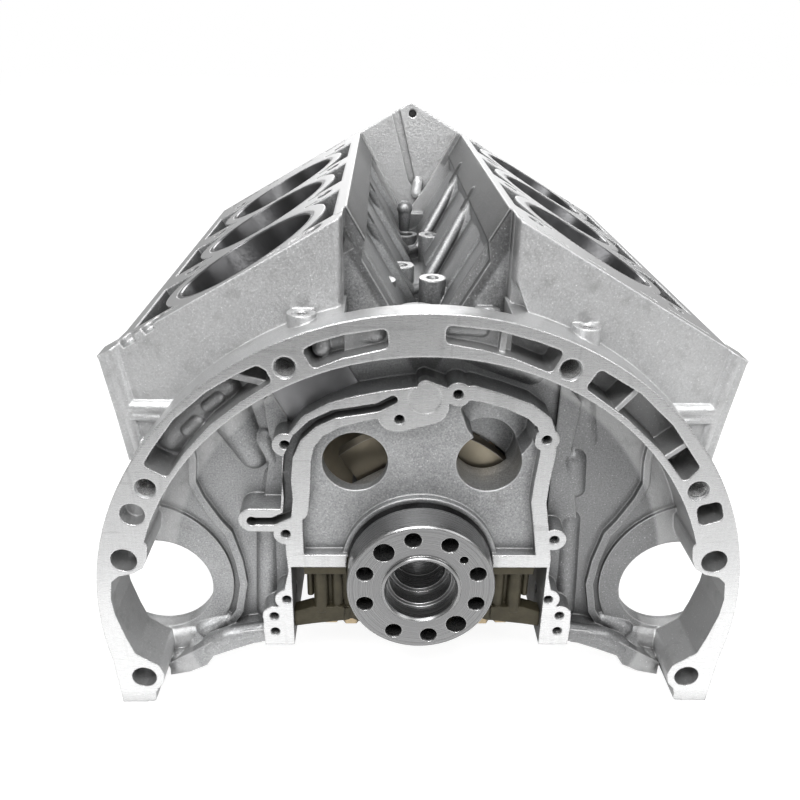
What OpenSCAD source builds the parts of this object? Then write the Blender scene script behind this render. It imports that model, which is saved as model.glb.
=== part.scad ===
// Short block of a 60 degree V6 engine: cast block with its bell end, crankshaft and bearing caps
// X to the right bank, Y from the bell face to the front, Z up, origin on the crank axis

/* [Cylinders] */
// Diameter of the cylinder bores
bore_d = 92.9; // [90:0.1:93.5]
// Distance between neighbouring cylinders of one bank
bore_pitch = 106; // [105:0.5:108]
// Distance from the bell face to the first cylinder of the left bank
first_bore_y = 81.4; // [80:0.1:84]
// Distance the right bank sits further forward than the left bank
bank_offset = 34.3; // [33:0.1:36]
// Angle of each bank from the vertical
bank_angle = 30; // [29:0.5:31]
// Distance from the crank axis to the deck faces
deck_h = 221.4; // [219:0.1:224]
// Wall of the cast-in cylinder liners
liner_wall = 3; // [2:0.1:4]
// Length of the cast-in cylinder liners
liner_len = 114; // [100:1:116]
// Metal around each liner at the deck
barrel_wall = 8.1; // [7:0.1:9]

/* [Crankshaft] */
// Distance from the crank axis to the crank pins
crank_throw = 43; // [40:0.5:44]
// Diameter of the main journals
main_d = 64; // [60:0.5:66]
// Diameter of the crank pins
pin_d = 54; // [50:0.5:56]
// Radius of the counterweights
weight_r = 81; // [76:0.5:82]
// Radius of the flange at the bell end
flange_r = 46.9; // [45:0.1:48]
// Thickness of the flange at the bell end
flange_t = 22.2; // [20:0.1:22.4]
// Radius of the ring of flange bolt holes
flange_hole_ring_r = 37.3; // [36.5:0.1:38]
// Radius of the flange bolt holes
flange_hole_r = 5.1; // [4:0.1:5.5]
// Radius of the collar in the middle of the flange
collar_r = 25.3; // [24:0.1:26.5]
// Radius of the pilot bore in the collar
pilot_r = 22.3; // [21:0.1:23]
// Radius of the crank nose at the front
nose_r = 20; // [16:0.5:24]
// Length of the crank nose beyond the front face
nose_len = 52; // [30:1:60]
// Running gap between journals and bearing shells
shell_gap = 0.04; // [0.02:0.01:0.08]
// Thickness of the bearing shells
shell_t = 2.5; // [2:0.1:3]
// Angle of the first crank pin, seen from the bell end
crank_phase = 237; // [0:1:359]

/* [Crankcase] */
// Distance from the bell face to the rearmost main bearing
first_main_y = 45.5; // [45:0.1:46]
// Thickness of the walls that carry the main bearings
main_wall = 24; // [22:0.5:25]
// Half width of the crankcase between the skirts
skirt_in = 84; // [83.5:0.1:86]
// Height of the sump rail below the crank axis
rail_drop = 65; // [62:0.5:68]
// Half width of the block at the sump rail
rail_half_w = 105; // [103:0.5:108]
// Radius of the two large holes over the crank
vent_r = 20.7; // [18:0.1:22]
// Thickness of the wall that closes the front
front_wall = 14; // [12:0.5:16]
// Distance from the bell face to the front face
block_len = 386; // [384:0.5:390]

/* [Bell end] */
// Outer radius of the bell face
bell_r = 204.8; // [203:0.1:207]
// Inner radius of the bell face
bell_in_r = 179.2; // [178:0.1:181]
// Drop of the bell's centre below the crank axis
bell_drop = 22.5; // [22:0.1:23]
// Thickness of the bell's side walls
bell_wall = 8; // [6:0.5:10]
// Distance from the bell face to the wall behind it
bell_depth = 40; // [38:0.5:42]
// Distance from the bell face to the cover's gasket face
gasket_y = 20; // [19.8:0.1:20.4]
// Radius of the round side openings
side_hole_r = 36.2; // [34:0.1:37]
// Radius of the upper bell bolt holes
bell_hole_r = 5.75; // [5:0.05:6.5]
// Radius of the lower bell bolt holes
foot_hole_r = 8.2; // [7:0.1:8.5]

/* [Small features] */
// Radius of the core plugs in the outer walls
plug_r = 17; // [15:0.5:18]
// Radius of the cover screw holes
screw_r = 2.9; // [2.5:0.1:3.2]
// Radius of the cylinder head bolt holes
head_bolt_r = 5.5; // [5:0.1:6]
// Distance of the head bolts from the line of cylinders
head_bolt_u = 53; // [52:0.5:55]
// Depth of the water jackets below the deck
jacket_depth = 92; // [80:1:95]
// Width of the milled oil channel in the gasket face
channel_w = 5.6; // [4:0.1:6]
// Radius of the long main cap bolts
cap_bolt_r = 5; // [4.5:0.1:5.5]
// Width across flats of the small cap bolt heads
hex_af = 13; // [12:0.5:14]

/* [Hidden] */
$fn = 48;
bore_r = bore_d / 2;
liner_r = bore_r + liner_wall;
barrel_r = liner_r + barrel_wall;
pin_r = pin_d / 2;
journal_r = main_d / 2;
shell_in_r = journal_r + shell_gap;
seat_r = shell_in_r + shell_t;
main_y = [for (i = [0:3]) first_main_y + i * bore_pitch];
bay_y = [for (i = [0:2]) first_main_y + (i + 0.5) * bore_pitch];
crank_flange_y = -2.6;
deck_rear = 27;
deck_in = 74;
deck_out = 80;
rail_in = 66;
valley_fillet = 9.5;
cap_half_w = skirt_in - 0.3;
collar_y = 31;
flange_holes = [18, 63, 99, 162, 198, 243, 279, 342];
cover_holes_r = [[19.6, 124.8], [75, 94.7], [86.7, 21.6], [87.2, -26.5], [96.2, -40.1], [96, -53.3]];
cover_holes_l = [[-84.3, 90.3], [-86.3, 25.7], [-87.8, -26.6], [-96.8, -40.6], [-96.7, -53.7], [-15, 108]];

function bank_x(u, h) = h * sin(bank_angle) + u * cos(bank_angle);
function bank_z(u, h) = h * cos(bank_angle) - u * sin(bank_angle);
function bank_pt(u, h) = [bank_x(u, h), bank_z(u, h)];
function bore_y(side, i) = first_bore_y + (side > 0 ? bank_offset : 0) + i * bore_pitch;
function column_y(side, i) = bore_y(side, i) - bore_pitch / 2;
function flip(p) = [for (i = [len(p) - 1:-1:0]) [-p[i][0], p[i][1]]];
function unit(v) = v / norm(v);
// Points of the arc that rounds corner b between a and c
function corner(a, b, c, r, n) =
    let (p = unit(a - b), q = unit(c - b))
    abs(p * q) > 0.995 ? [b] :
    let (half = acos(p * q) / 2)
    let (d = min(r / tan(half), 0.48 * norm(a - b), 0.48 * norm(c - b)))
    let (rr = d * tan(half), m = b + unit(p + q) * rr / sin(half))
    let (s = b + p * d - m, e = b + q * d - m)
    let (a0 = atan2(s[1], s[0]), turn = (atan2(e[1], e[0]) - a0 + 540) % 360 - 180)
    [for (i = [0:n]) m + rr * [cos(a0 + turn * i / n), sin(a0 + turn * i / n)]];
function rounded(p, r, n = 4) =
    [for (i = [0:len(p) - 1]) each corner(p[(i + len(p) - 1) % len(p)], p[i], p[(i + 1) % len(p)], r, n)];

// A flat shape drawn in X and Z, from y0 to y1
module along_y(y0, y1) {
    for (k = [0:$children - 1]) translate([0, y1, 0]) rotate([90, 0, 0]) linear_extrude(y1 - y0)
        children(k);
}

// A round bar along Y
module bar_y(x, z, r, y0, y1, r2 = -1) {
    translate([x, y0, z]) rotate([-90, 0, 0]) cylinder(r1 = r, r2 = r2 < 0 ? r : r2, h = y1 - y0);
}

// A round ended stroke between two points, drawn flat: its sides run 0.01 inside the ends' tangents
module stroke(a, b, w) {
    translate(a) circle(d = w);
    translate(b) circle(d = w);
    translate(a) rotate(atan2(b[1] - a[1], b[0] - a[0])) {
        translate([0, 0.01 - w / 2]) square([norm(b - a), w - 0.02]);
    }
}

// A chain of strokes
module path(p, w) {
    for (i = [0:len(p) - 2]) stroke(p[i], p[i + 1], w);
}

module both_sides() {
    children();
    mirror([1, 0, 0]) children();
}

// Puts children in a bank's own frame: X outward, Y forward, Z along the cylinders
module bank(side) {
    mirror([side > 0 ? 0 : 1, 0, 0]) rotate([0, bank_angle, 0]) children();
}

// A rounded bar with ball ends between two points
module rod(a, b, r) {
    v = b - a;
    translate(a) rotate([0, acos(v[2] / norm(v)), atan2(v[1], v[0])]) rotate_extrude() difference() {
        union() {
            circle(r = r);
            translate([0, norm(v)]) circle(r = r);
            square([r, norm(v)]);
        }
        translate([-3 * r, -2 * r]) square([3 * r, norm(v) + 4 * r]);
    }
}

// A tapering bar with ball ends between two points
module taper(a, ra, b, rb) {
    v = b - a;
    k = (ra - rb) / norm(v);
    c = sqrt(1 - k * k);
    translate(a) rotate([0, acos(v[2] / norm(v)), atan2(v[1], v[0])]) rotate_extrude() difference() {
        union() {
            circle(r = ra);
            translate([0, norm(v)]) circle(r = rb);
            polygon([[-1, 0], [0, 0], [(ra - 0.01) * c, (ra - 0.01) * k],
                [(rb - 0.01) * c, norm(v) + (rb - 0.01) * k],
                [-1, norm(v)]]);
        }
        translate([-3 * ra, -2 * ra]) square([3 * ra, norm(v) + 2 * ra + 2 * rb]);
    }
}

// Cross-section of the block without the valley
module block_section() {
    right = [
        [0, deck_h / cos(bank_angle)],
        bank_pt(deck_out, deck_h),
        bank_pt(deck_out, deck_h - 100),
        [skirt_in + 15, 32],
        [skirt_in + 8, -42],
        [rail_half_w, -rail_drop + 10],
        [rail_half_w, -rail_drop]
    ];
    polygon(concat(right, flip(right)));
}

// Cross-section of the valley between the banks
module valley_section() {
    zc = 2 * (rail_in + valley_fillet);
    floor_z = zc - valley_fillet;
    low = bank_pt(-rail_in, zc * cos(bank_angle));
    right = [
        [bank_x(-deck_in, deck_h + 40), bank_z(-deck_in, deck_h + 40)],
        bank_pt(-deck_in, deck_h - 22),
        bank_pt(-rail_in, deck_h - 32),
        low
    ];
    polygon(concat(right, flip(right)));
    translate([0, zc]) circle(r = valley_fillet);
}

// Y of each row of head bolts, kept clear of the deck's ends
function head_bolt_y(side, i) = min(max(column_y(side, i), deck_rear + 9), block_len - 10);

// Ribs down the valley walls at each row of head bolts, and a flat swelling beside each cylinder
module valley_ribs(side) {
    for (y = [for (i = [0:3]) column_y(side, i)]) if (y > 50 && y < block_len - 20) {
        valley_rib(side, y, 8.5, 2.4, 3.4, 102);
    }
    for (i = [0:2]) if (bore_y(side, i) < block_len - 40) {
        valley_rib(side, bore_y(side, i) + 3, 19, 14, 6.2, 88);
    }
}

// One rib, set_back behind the rail: it runs up into the rail's underside
module valley_rib(side, y, base, crest, set_back, low) {
    bank(side) translate([0, y, deck_h - low]) linear_extrude(low - 25.5) {
        polygon([[-rail_in + 4, -base], [-rail_in + 4, base], [set_back - deck_in, crest],
            [set_back - deck_in, -crest]]);
    }
}

// Curved webs that cross the valley floor from a left rib to the right rib in front of it
module valley_webs() {
    turn = atan2(bank_offset, 60);
    for (i = [1:2]) translate([0, column_y(-1, i) + bank_offset / 2, 0]) rotate([0, 0, turn]) {
        along_y(-2.6, 2.6) difference() {
            polygon([[-62, 212], [-42, 182], [-26, 156], [-14, 141], [14, 141], [26, 156], [42, 182],
                [62, 212]]);
            translate([-3, 160.5]) circle(r = 11.5);
            polygon([[-12.4, 154.2], [6.4, 154.2], [45.3, 212], [50, 240], [-60, 240], [-51.3, 212]]);
        }
        // their rounded edge
        taper([-14.2, 0, 156.2], 4.3, [-48, 0, 212], 4);
        taper([-14.6, 0, 156.6], 4.1, [-6.4, 0, 148], 4.2);
        taper([-7.2, 0, 148.3], 4.05, [3.6, 0, 149.2], 4.15);
        taper([3, 0, 148.4], 4.1, [11, 0, 157.4], 4.3);
        taper([9.4, 0, 156], 4.2, [47, 0, 213], 4.5);
    }
}

// The valley's front end: a flat panel set back between sloping corners, with a ledge under it
module valley_front() {
    y = block_len - front_wall;
    along_y(y - 7, y + 1) difference() {
        polygon([[-52, 236], [-37, 170], [-20, 140], [20, 140], [37, 170], [52, 236]]);
        polygon([[-48, 237], [-38, 216], [-11, 163], [2.5, 163], [18, 186], [46, 237]]);
    }
    along_y(y - 14, y + 1) polygon([[-16, 140], [-14, 157.5], [13, 157.5], [20, 140]]);
}

// Bank end wall above the bell: rounded upright corner by the valley, flared rim at the outside, band across
module bank_end(corner_z) {
    wall = [
        [52.8, 190], [52.8, 225.2],
        bank_pt(deck_out, deck_h),
        [189, 143.5],
        [185, 110],
        [179, 70],
        [150, 40],
        [60, 120],
        [52.8, 150]
    ];
    difference() {
        union() {
            along_y(deck_rear, 50) polygon(wall);
            along_y(deck_rear + 4.4, 39) polygon([[48.4, 150], [48.4, 232], [70, 222], [70, 150]]);
            translate([53, deck_rear + 4.5, 152]) cylinder(r = 4.6, h = 80);
            // flared rim: a flat band outside a soft ridge
            along_y(deck_rear - 2.2, 40) polygon([[194, 152], [190, 143.6], [184.6, 108], [180.6, 77],
                [174, 76], [177, 108],
                [182, 152]]);
            taper([184, 28.6, 155], 5, [176.8, 28.2, 109], 4.6);
            taper([177, 28, 106], 4.2, [172.4, 27.8, 74], 4);
            // band across, with its rounded top and bottom edges
            along_y(deck_rear - 3, 32) polygon([[136, 113], [176, 113], [176, 106], [136, 104.6]]);
            rod([175, 27.4, 112.4], [136, 27.2, 112.2], 4.3);
            rod([175, 26.8, 106.6], [142, 26.6, 105.2], 3.4);
        }
        bar_y(0, -bell_drop, bell_in_r + 5, -1, bell_depth);
        along_y(deck_rear - 8, deck_rear + 10) {
            polygon([[44, corner_z], [50.5, corner_z], [60, corner_z - 22], [62, 146], [44, 146]]);
        }
    }
}

// Ring-shaped flange of the bell face, with its wall and the wall behind it
module bell() {
    low_cut = [[-260, -250], [260, -250], [260, -97], [190, -97], [172, -97], [104, -65], [-104, -65],
        [-172, -97], [-190, -97], [-260, -97]];
    // inner outline of the ring from the holes level with the side openings down to the feet
    low_right = [[168, 34], [170, 21], [173, 14], [180, 9.5], [189, 7.5], [194, 3], [196, -10], [195, -23],
        [190.5, -41], [186, -55], [178, -61], [171.5, -65.5], [169, -73], [170.5, -81], [175, -86],
            [176.5, -91],
        [176, -96.2], [199, -96.2], [200.8, -66], [202.6, -45], [202.6, -20], [202, 0], [199, 20],
            [195.5, 34]];
    difference() {
        union() {
            bar_y(0, -bell_drop, bell_r, 0, bell_depth + 8);
            both_sides() along_y(0, bell_depth + 8) polygon([[150, -97], [199, -97], [201, -66],
                [203, -20], [150, -20]]);
        }
        // open inside: wide round the lower half, narrower behind the face above
        bar_y(0, -bell_drop, bell_in_r, -1, bell_depth);
        intersection() {
            bar_y(0, -bell_drop, bell_r - bell_wall, -1, bell_depth);
            translate([-250, -1, -200]) cube([500, bell_depth + 1, 225]);
        }
        along_y(-1, 100) polygon(low_cut);
        // outside of the wall behind the face, between the banks
        along_y(15, 60) polygon([[-47, 186], [-47, 158], [47, 158], [47, 186]]);
    }
    both_sides() along_y(0, bell_depth + 5) polygon(rounded(low_right, 4, 3));
}

// Raised loops of the gasket face
module gasket_face() {
    right = [[0, 129], [14, 123.5], [28, 126], [46, 120.5], [62, 114.5], [72.5, 106.5], [76.5, 95],
        [76.5, 84],
        [74.8, 66], [74, 50], [78, 26], [81, 6], [80.8, -8], [85.5, -27], [91, -44]];
    left = [[-3, 121], [-22, 118.5], [-39, 115], [-54, 110.5], [-67, 103], [-75, 92], [-77.5, 80],
        [-78.5, 60],
        [-80, 44]];
    left_low = [[-81, 42], [-81, 12], [-80, -4], [-84, -22], [-90, -42]];
    path(right, 9.6);
    path(left, 17.5);
    path(left_low, 11.4);
    stroke([-84, 36], [-107.5, 36.2], 16.8);
    stroke([-16, 112], [2, 117], 25);
    for (h = concat(cover_holes_r, cover_holes_l)) translate(h) circle(r = 7.8);
    both_sides() {
        polygon([[skirt_in, -30], [89, -30], [95, -33], [103.5, -36], [104.5, -50],
            [rail_half_w - 1, -rail_drop],
            [skirt_in, -rail_drop]]);
    }
    translate([-82, 0]) square([162, 9.5]);
}

// Recessed wall inside the gasket loop
module loop_wall() {
    polygon([[-80, 6], [-80, 50], [-76, 100], [-50, 112], [0, 125], [50, 116], [72, 100], [74, 50],
        [80, 6]]);
}

// Bell face pockets, drawn flat, left side then right side
module ring_pockets() {
    left_1 = [[-165, 87], [-158, 98], [-144, 117], [-124, 134.5], [-107, 145], [-95, 151], [-90, 148],
        [-87, 141],
        [-106, 128], [-124, 113.5], [-140, 95.5], [-151.5, 79]];
    left_2 = [[-70, 160], [-62, 164.5], [-47, 169.2], [-23, 173.2], [-22, 162], [-48, 155.5], [-64, 149]];
    right_1 = [[9, 175.5], [37, 172.5], [60, 166.2], [75, 160.5], [69, 147.5], [47, 156.5],
        [30, 161.3], [9, 165]];
    right_2 = [[96, 150.5], [121, 135.5], [143, 115], [163.5, 87.5], [155.5, 77], [139, 97.5],
        [116, 119], [89, 138.5]];
    polygon(rounded(left_1, 3));
    polygon(rounded(left_2, 3));
    polygon(rounded(right_1, 3));
    polygon(rounded(right_2, 3));
    polygon(rounded([[165.5, 60.5], [180, 64.5], [184.5, 51], [169.5, 46]], 4));
}

// Ribs and bulges that stand in the bell face pockets
module pocket_ribs() {
    along_y(9, 30) stroke([-115, 142], [-90, 135.5], 4);
    along_y(5, 30) stroke([42, 174], [41, 156], 3.4);
    along_y(3, 30) stroke([122, 139], [108, 122], 3);
    along_y(3, 30) stroke([157, 104], [140, 90], 3);
    rod([-152, 30, 94], [-120, 30, 126], 12);
    rod([-141, 20, 101], [-135, 20, 107], 5);
    rod([-128, 19, 117], [-121, 19, 123], 4);
    rod([-57, 25, 157], [-30, 17, 167], 9);
    rod([-60, 18, 162], [-60, 16, 156], 5.5);
    rod([12, 15, 170], [30, 15, 169], 6);
    rod([40, 22, 166], [38, 22, 158], 9);
    // floor of the pockets between the banks, where the wall behind is thin
    along_y(11, 15) polygon([[-47, 190], [-47, 150], [47, 150], [47, 190]]);
}

// Cast bulges and ridges on the wall inside the bell: centres lie near the wall, so the forms rise gently
module bell_inside() {
    wall_y = bell_depth;
    // slanted oil pipe with the knobs below it, and the web over the loop
    taper([-126, 49, 117], 19.4, [-106.8, 42, 72], 9.4);
    taper([-100, 44, 84], 9, [-94.5, 42, 70], 5.5);
    taper([-95, 44, 58], 7.4, [-101, 46, 46], 6.2);
    taper([-50, 52, 142], 15, [-98, 51, 118], 12.6);
    // bulges above and beside the loop on the right
    taper([22, 52, 144], 13, [66, 51, 133], 15);
    taper([100, 52, 112], 14, [107, 49, 84], 10.4);
    taper([98, 45, 70], 10, [102, 45.6, 48], 8.6);
    // flat lands round the side openings
    both_sides() difference() {
        bar_y(188, -24, 62.5, wall_y - 3, wall_y + 2);
        translate([195, 0, -120]) cube([100, 100, 220]);
        translate([100, 0, -160]) cube([100, 100, 82]);
    }
    both_sides() {
        // ridge round each land, that climbs to the ring
        along_y(wall_y - 4.4, wall_y + 2) path([[150, 100], [146, 84], [145, 71], [146.6, 54.5],
            [142.4, 42], [133, 25],
            [126, 15], [120.6, -7], [118.6, -26], [123, -49], [131, -62]], 5);
        // thicker wall beside the crankcase, with soft columns on it
        along_y(wall_y - 3, wall_y + 1) polygon([[84, 128], [84, -60], [100, -60], [104, -20],
            [104, 26], [101, 44],
            [95, 80], [98, 112]]);
        taper([100, 45, 24], 9.4, [103, 44.6, -50], 10);
        // thick lower edge that runs from the sump rail to the foot
        along_y(23, bell_depth + 6) polygon([[103, -54], [103, -65], [112, -66.4], [124, -71],
            [141, -78], [146, -86],
            [158, -92], [172, -95], [172, -84], [158, -76], [142, -66], [118, -56]]);
        rod([106, 28, -58.6], [131, 27, -63], 5.6);
        taper([131.4, 27.4, -64], 6.4, [143, 29, -73], 7.4);
        taper([150, 42, -68], 8.2, [155, 33, -82], 7);
        taper([134, 42, -60], 7.6, [147, 40, -66], 8.6);
        taper([170, 44, -76], 12, [156, 42, -72], 9.6);
        taper([166, 30, -88], 8.8, [158, 31, -86], 7.8);
    }
}

// Bosses that stand in the valley and on the bell's outside: x, y, top, radius
bosses = [[-71.3, 21, 175, 8.3], [92, 23, 168, 8.3], [36.2, 42.8, 170, 8.3], [7.6, 107.3, 170, 9],
    [-25.9, 101.9, 170, 9], [-11.8, 155, 165, 9], [13.5, 246, 165, 9.5]];

module valley_bosses() {
    for (b = bosses) translate([b[0], b[1], 140]) cylinder(r = b[3], h = b[2] - 140);
    translate([-3.5, 66, 140]) cylinder(r = 13, h = 22);
    // sensor boss and the round ended post behind it
    translate([-5, 300, 140]) cylinder(r = 10, h = 12);
    translate([-5.5, 326, 140]) cylinder(r1 = 3.6, r2 = 6.2, h = 28);
    translate([-5.5, 326, 169]) sphere(r = 7);
    // small boss on the front wall beside the groove
    rod([8, block_len - front_wall, 184], [6.6, block_len - front_wall - 2, 174], 5);
}

// Faces that carry the engine mounts on the outer walls
module mount_pads() {
    both_sides() {
        along_y(190, 290) polygon([[90, -30], [112, -26], [112, 26], [96, 34]]);
    }
}

// Outside ribs of the crankcase at each main bearing
module flank_ribs() {
    both_sides() for (y = main_y) {
        along_y(y - 4, min(y + 4, block_len - 1)) polygon([[90, -rail_drop + 6],
            [rail_half_w, -rail_drop + 6],
            [107, 20], bank_pt(deck_out - 1, deck_h - 98), [90, 40]]);
    }
    for (side = [-1, 1]) bank(side) for (y = [for (i = [0:3]) column_y(side, i)]) if (y > 50) {
        translate([deck_out - 4, min(y, block_len - 9), deck_h - 104]) cylinder(r = 8, h = 100);
    }
}

module jackets(side) {
    for (i = [0:2]) {
        y = bore_y(side, i);
        // long window on the outer side, short one on the valley side
        bank(side) translate([0, 0, deck_h - jacket_depth]) difference() {
            translate([0, y - 38, 0]) cube([71.5, 76, jacket_depth + 1]);
            translate([0, y, -1]) cylinder(r = barrel_r, h = jacket_depth + 3);
            translate([-1, y - 60, -1]) cube([31, 120, jacket_depth + 3]);
        }
        bank(side) translate([0, 0, deck_h - 23]) difference() {
            translate([-65.5, y - 38, 0]) cube([65.5, 76, 24]);
            translate([0, y, -1]) cylinder(r = barrel_r, h = 26);
            translate([-31, y - 60, -1]) cube([32, 120, 26]);
        }
        // saddle slots beside the bolt columns
        for (d = [-1, 1]) bank(side) translate([0, 0, deck_h - 40]) {
            translate([39, y + d * 42.6 - 1.4, 0]) cube([9, 2.8, 41]);
            translate([-48, y + d * 42.6 - 1.4, 16]) cube([9, 2.8, 25]);
        }
    }
}

// Passages in the end of the deck that is farther from its cylinders
module deck_slots(side) {
    y = side > 0 ? deck_rear + 9 : block_len - 12;
    bank(side) for (p = [[-58, 22, 10], [-22, 12, 14], [16, 12, 14], [36, 32, 10]]) {
        translate([p[0], y, deck_h - p[2]]) cube([p[1], 4, p[2] + 1]);
    }
    if (side < 0) bank(side) {
        translate([72.5, deck_rear + 5, deck_h - 4]) cylinder(r = 6.6, h = 5);
        translate([57.5, deck_rear + 5, deck_h - 3.4]) cylinder(r = 6, h = 5);
        translate([-52, deck_rear + 5, deck_h - 10]) cube([14, 4, 11]);
        translate([-32, deck_rear + 5, deck_h - 10]) cube([8, 4, 11]);
    }
}

module deck_holes(side) {
    bank(side) for (i = [0:3]) for (u = [-head_bolt_u, head_bolt_u]) {
        translate([u, head_bolt_y(side, i), deck_h - 60]) cylinder(r = head_bolt_r, h = 61);
    }
}

// Everything cut out of the crankcase
module crankcase_space() {
    for (i = [0:2]) along_y(main_y[i] + main_wall / 2, main_y[i + 1] - main_wall / 2) {
        circle(r = skirt_in);
        translate([-skirt_in, -rail_drop - 1]) square([2 * skirt_in, rail_drop + 1]);
    }
    // seats for the caps run through below the crank axis
    along_y(gasket_y - 1, block_len + 1) translate([-skirt_in, -rail_drop - 1])
        square([2 * skirt_in, rail_drop + 1]);
    for (y = main_y) bar_y(0, 0, seat_r, y - main_wall, y + main_wall);
    bar_y(0, 0, flange_r + 1.1, gasket_y - 1, collar_y + 0.4);
    bar_y(0, 0, 41, main_y[3], block_len + 1);
    // windows between the bays
    for (i = [1:2]) both_sides() bar_y(66, 22, 11, main_y[i] - 20, main_y[i] + 20);
    both_sides() bar_y(42, 74.3, vent_r, gasket_y - 1, 66);
}

// Deep pocket beside the right vent hole
module deep_pocket() {
    along_y(gasket_y - 1, 50) polygon(rounded([[22, 112], [30, 121], [48, 116], [62, 109.5],
        [68.5, 103], [67.5, 88],
        [62, 80], [44, 80], [34, 88], [27, 98]], 4));
}

module bearing_bolt_holes() {
    for (y = main_y) both_sides() {
        for (x = [46, 60]) translate([x, y, -1]) cylinder(r = cap_bolt_r + 0.1, h = 42);
    }
}

module side_bolt_holes() {
    for (i = [1:3]) both_sides() translate([skirt_in - 1, main_y[i], -36]) rotate([0, 90, 0]) {
        cylinder(r = 4.2, h = 40);
        translate([0, 0, rail_half_w - skirt_in + 1]) cylinder(r = 9, h = 20);
    }
}

module bell_holes() {
    both_sides() {
        bar_y(79.6, 149.7, bell_hole_r, -1, 24);
        bar_y(79.6, 149.7, bell_hole_r + 1.6, -1, 1.6, bell_hole_r);
        bar_y(165.1, 71.5, bell_hole_r, -1, 26);
        bar_y(165.1, 71.5, bell_hole_r + 1.6, -1, 1.6, bell_hole_r);
        bar_y(184.1, 19.8, foot_hole_r, -1, bell_depth + 20);
        bar_y(182.3, -75, foot_hole_r, -1, bell_depth + 20);
    }
    bar_y(-174.9, 53.3, 7.8, -1, 9, 6.5);
}

module cover_holes() {
    for (h = concat(cover_holes_r, cover_holes_l)) {
        bar_y(h[0], h[1], screw_r, gasket_y - 1, gasket_y + 18);
        bar_y(h[0], h[1], screw_r + 1.5, gasket_y - 1, gasket_y + 0.7, screw_r);
    }
    // oil channel with its feed hole
    along_y(gasket_y - 1, gasket_y + 9) path([[-107.3, 35.5], [-94, 35.5], [-85, 40], [-83.6, 52],
        [-84.2, 66],
        [-82.5, 82], [-77, 95], [-67, 105], [-54, 111.5], [-39, 114], [-28, 116], [-19, 121]], channel_w);
    bar_y(-107.3, 35.5, 3.4, gasket_y, bell_depth);
    bar_y(0, 122, 10, gasket_y - 1, gasket_y + 0.4);
}

module rail_holes() {
    both_sides() for (i = [0:7]) translate([94.5, 62 + i * 43, -rail_drop - 1]) cylinder(r = 3, h = 19);
}

// Recess of the front cover and the holes round it
module front_face() {
    right = [[0, 242], [38, 221], [52, 205], [140, 150], [150, 136], [112, 70], [88, 30], [83, -4],
        [0, -4]];
    along_y(block_len - 8, block_len + 1) difference() {
        polygon(concat(right, flip(right)));
        circle(r = 52);
        both_sides() translate([62, 118]) circle(r = 17);
    }
    both_sides() {
        bar_y(62, 118, 10, block_len - 40, block_len + 1);
        for (p = [[92, -20], [92, -52], [100, 36], [128, 82], [156, 130], [134, 166], [77, 199],
            [53, 213]]) {
            bar_y(p[0], p[1], screw_r, block_len - 18, block_len + 1);
        }
    }
    bar_y(1.5, 245.8, 3.6, block_len - front_wall - 1, block_len - 4);
}

module boss_holes() {
    for (b = bosses) {
        translate([b[0], b[1], b[2] - 14]) cylinder(r = 3.2, h = 15);
        translate([b[0], b[1], b[2] - 1.2]) cylinder(r1 = 3.2, r2 = 4.6, h = 1.3);
    }
    translate([-5, 300, 147]) cylinder(r = 6.5, h = 10);
}

module pad_holes() {
    both_sides() for (y = [204, 276]) for (z = [-16, 16]) {
        translate([96, y, z]) rotate([0, 90, 0]) cylinder(r = 4.2, h = 20);
    }
    both_sides() for (y = main_y) translate([skirt_in - 1, y, -36]) rotate([0, 90, 0])
        cylinder(r = 4.2, h = 26);
}

// Seats of the round core plugs in the outer walls
module plug_seats() {
    for (side = [-1, 1]) bank(side) for (i = [0, 2]) {
        translate([deck_out - 9, bore_y(side, i), deck_h - 62]) rotate([0, 90, 0])
            cylinder(r = plug_r, h = 12);
    }
}

module cylinder_block() color([0.66, 0.67, 0.68]) {
    difference() {
        union() {
            difference() {
                along_y(bell_depth + 1, block_len) block_section();
                along_y(0, block_len - front_wall) valley_section();
                translate([-48.4, 0, 150]) cube([96.8, 50, 120]);
            }
            for (side = [-1, 1]) valley_ribs(side);
            valley_webs();
            valley_front();
            bank_end(191);
            mirror([1, 0, 0]) bank_end(171);
            bell();
            along_y(gasket_y, bell_depth + 6) gasket_face();
            along_y(gasket_y + 8, bell_depth + 6) loop_wall();
            bar_y(0, 0, 51, gasket_y + 3, 46);
            bell_inside();
            valley_bosses();
            mount_pads();
            flank_ribs();
        }
        difference() {
            along_y(-1, 26) ring_pockets();
            pocket_ribs();
        }
        crankcase_space();
        deep_pocket();
        for (side = [-1, 1]) {
            jackets(side);
            deck_slots(side);
            deck_holes(side);
            for (i = [0:2]) bank(side) translate([0, bore_y(side, i), 0]) {
                translate([0, 0, deck_h - liner_len]) cylinder(r = liner_r, h = liner_len + 30);
                translate([0, 0, 58]) cylinder(r = bore_r + 0.4, h = 80);
            }
        }
        both_sides() bar_y(176, -27.5, side_hole_r, bell_depth - 4, bell_depth + 60);
        bearing_bolt_holes();
        side_bolt_holes();
        bell_holes();
        cover_holes();
        rail_holes();
        front_face();
        boss_holes();
        pad_holes();
        plug_seats();
        // flat deck faces over the ribs and rims
        for (side = [-1, 1]) bank(side) translate([-90, -10, deck_h]) cube([220, 420, 40]);
        // groove down the front wall of the valley
        along_y(block_len - front_wall - 1, block_len - front_wall + 3.5) {
            polygon([[-19, 252], [-11, 252], [5.4, 186], [2, 180.5], [-1.5, 186]]);
        }
        // nothing stands below the sump rail between the feet
        translate([-rail_half_w - 2, 10, -rail_drop - 40]) cube([2 * rail_half_w + 4, 400, 40]);
    }
}

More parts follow.
